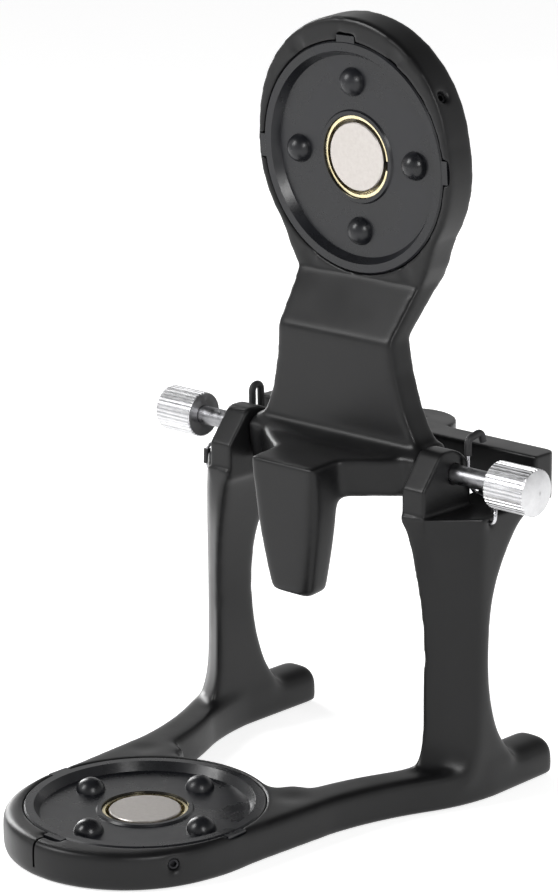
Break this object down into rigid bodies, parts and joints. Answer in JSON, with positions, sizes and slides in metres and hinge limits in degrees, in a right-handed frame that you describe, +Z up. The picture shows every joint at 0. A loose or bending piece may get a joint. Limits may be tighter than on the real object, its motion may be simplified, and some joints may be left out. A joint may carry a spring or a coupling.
{
  "type": "dental articulator",
  "caption": "Hinge-type dental articulator with magnetic mounting plates, standing open on a splayed base with two posts.",
  "frame": {"origin": "on the surface that the base stands on, under the centre of the lower mounting plate", "axes": "+Z up, +Y to the rear towards the hinge, +X to the right; the hinge axis is parallel to X"},
  "size_m": [0.128, 0.1489, 0.1977],
  "materials": {
    "casting": "satin black paint over a zinc die casting",
    "plate": "moulded black plastic, semi-gloss",
    "magnet": "nickel plated, lightly brushed",
    "brass": "turned",
    "steel": "threaded, oiled",
    "knob": "straight knurl, bright",
    "black_screw": "black oxide",
    "wire": "spring steel",
    "hose": "matt black tube"
  },
  "bodies": {
    "lower": {"lower_frame": "casting", "lower_mounting_plate": "plate", "lower_magnet": "magnet", "lower_magnet_sleeve": "brass", "lower_pole_disc": "steel", "left_retaining_wire": "wire", "right_retaining_wire": "wire", "left_wire_sleeve": "hose", "right_wire_sleeve": "hose", "left_end_sleeve": "hose"},
    "upper": {"upper_frame": "casting", "upper_mounting_plate": "plate", "upper_magnet": "magnet", "upper_magnet_sleeve": "brass", "upper_pole_disc": "steel"},
    "lower_screw": {"lower_plate_screw": "black_screw"},
    "upper_screw": {"upper_plate_screw": "black_screw"},
    "left_pin": {"left_hinge_pin": "steel"},
    "right_pin": {"right_hinge_pin": "steel"},
    "left_knob": {"left_knob": "knob"},
    "right_knob": {"right_knob": "knob"},
    "height_stop": {"height_stop_screw": "black_screw"}
  },
  "joints": [
    {"name": "upper_hinge", "type": "hinge", "parent": "lower", "child": "upper", "pos_m": [0, 0.0746, 0.0853], "axis": [1, 0, 0], "range_deg": [-60, 85.4]},
    {"name": "left_pin_travel", "type": "slide", "parent": "lower", "child": "left_pin", "axis": [-1, 0, 0], "range_m": [-0.0008, 0.004]},
    {"name": "right_pin_travel", "type": "slide", "parent": "lower", "child": "right_pin", "axis": [1, 0, 0], "range_m": [-0.0008, 0.004]},
    {"name": "left_knob_turn", "type": "hinge", "parent": "left_pin", "child": "left_knob", "pos_m": [-0.0578, 0.0746, 0.0853], "axis": [-1, 0, 0], "range_deg": [-360, 1800]},
    {"name": "right_knob_turn", "type": "hinge", "parent": "right_pin", "child": "right_knob", "pos_m": [0.0578, 0.0746, 0.0853], "axis": [1, 0, 0], "range_deg": [-360, 1800]},
    {"name": "height_stop_travel", "type": "slide", "parent": "lower", "child": "height_stop", "axis": [0, 0, 1], "range_m": [-0.004, 0.006]},
    {"name": "lower_screw_travel", "type": "slide", "parent": "lower", "child": "lower_screw", "axis": [0.8387, -0.5446, 0], "range_m": [0, 0.003]},
    {"name": "upper_screw_travel", "type": "slide", "parent": "upper", "child": "upper_screw", "axis": [0.8387, -0.0437, 0.5429], "range_m": [0, 0.003]}
  ],
  "couplings": [
    {"joint": "left_knob_turn", "follows": "left_pin_travel", "rad_per_m": 7854},
    {"joint": "right_knob_turn", "follows": "right_pin_travel", "rad_per_m": 7854}
  ]
}
